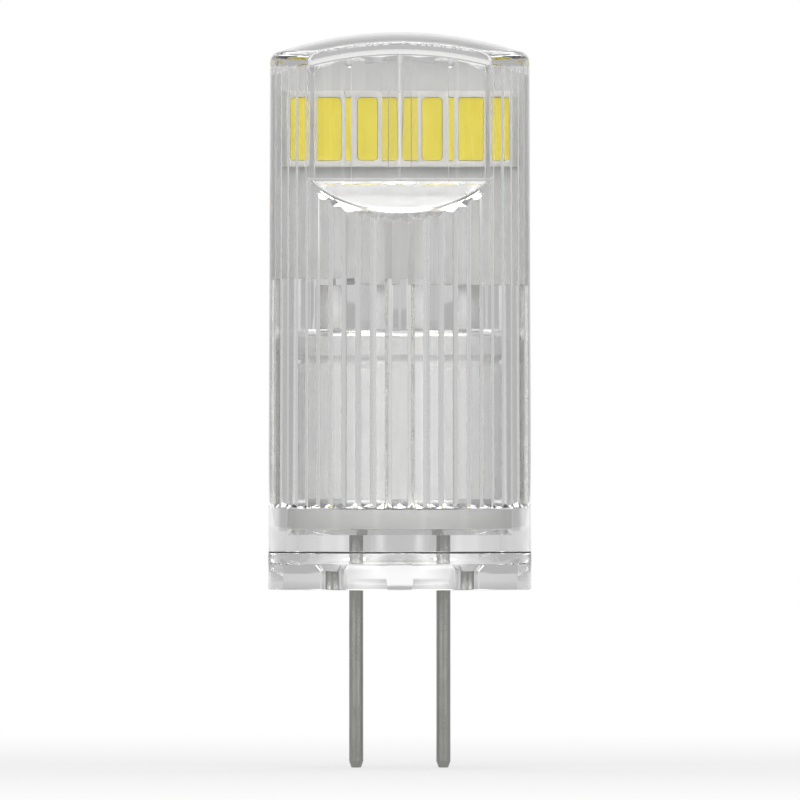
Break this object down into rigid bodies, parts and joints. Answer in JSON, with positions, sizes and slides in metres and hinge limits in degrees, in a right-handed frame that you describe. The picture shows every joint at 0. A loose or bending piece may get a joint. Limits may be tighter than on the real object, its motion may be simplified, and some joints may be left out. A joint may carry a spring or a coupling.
{
  "type": "led capsule bulb",
  "caption": "Small clear capsule lamp on two contact pins: fluted round cover with a flat window, upright LED board, round capacitor and driver board inside.",
  "frame": {"origin": "centre of the base's underside, midway between the two contact pins", "axes": "+Z along the capsule, from the base up to the dome; the pins point along -Z and are spaced along X; the front window faces -Y"},
  "size_m": [0.012, 0.012, 0.0338],
  "materials": {
    "clear_plastic": "clear, polished",
    "white_solder_mask": "white board, satin",
    "white_led_body": "white, satin",
    "phosphor": "yellow silicone, satin",
    "pin_metal": "plated, satin",
    "tinned_copper": "tinned, satin",
    "can_aluminium": "satin",
    "pale_sleeve": "pale, semi-gloss",
    "bung_rubber": "matt",
    "moulded_black": "matt",
    "ferrite": "matt",
    "enamelled_copper": "enamelled, gloss",
    "ceramic_tan": "matt"
  },
  "bodies": {
    "root": {"clear_cover": "clear_plastic", "clear_base": "clear_plastic", "contact_pin_left": "pin_metal", "contact_pin_right": "pin_metal", "driver_board": "white_solder_mask", "led_board": "white_solder_mask", "led_package_front_left": "white_led_body", "led_package_front_middle": "white_led_body", "led_package_front_right": "white_led_body", "led_package_rear_left": "white_led_body", "led_package_rear_middle": "white_led_body", "led_package_rear_right": "white_led_body", "phosphor_front_left": "phosphor", "phosphor_front_middle": "phosphor", "phosphor_front_right": "phosphor", "phosphor_rear_left": "phosphor", "phosphor_rear_middle": "phosphor", "phosphor_rear_right": "phosphor", "capacitor_can": "can_aluminium", "capacitor_sleeve": "pale_sleeve", "capacitor_bung": "bung_rubber", "capacitor_lead_left": "tinned_copper", "capacitor_lead_right": "tinned_copper", "lead_sleeve_left": "pale_sleeve", "lead_sleeve_right": "pale_sleeve", "link_wire_left": "tinned_copper", "link_wire_right": "tinned_copper", "driver_chip": "moulded_black", "bridge_rectifier": "moulded_black", "inductor_core": "ferrite", "inductor_winding": "enamelled_copper", "chip_resistor_1": "moulded_black", "chip_resistor_2": "moulded_black", "chip_capacitor": "ceramic_tan"}
  },
  "joints": []
}
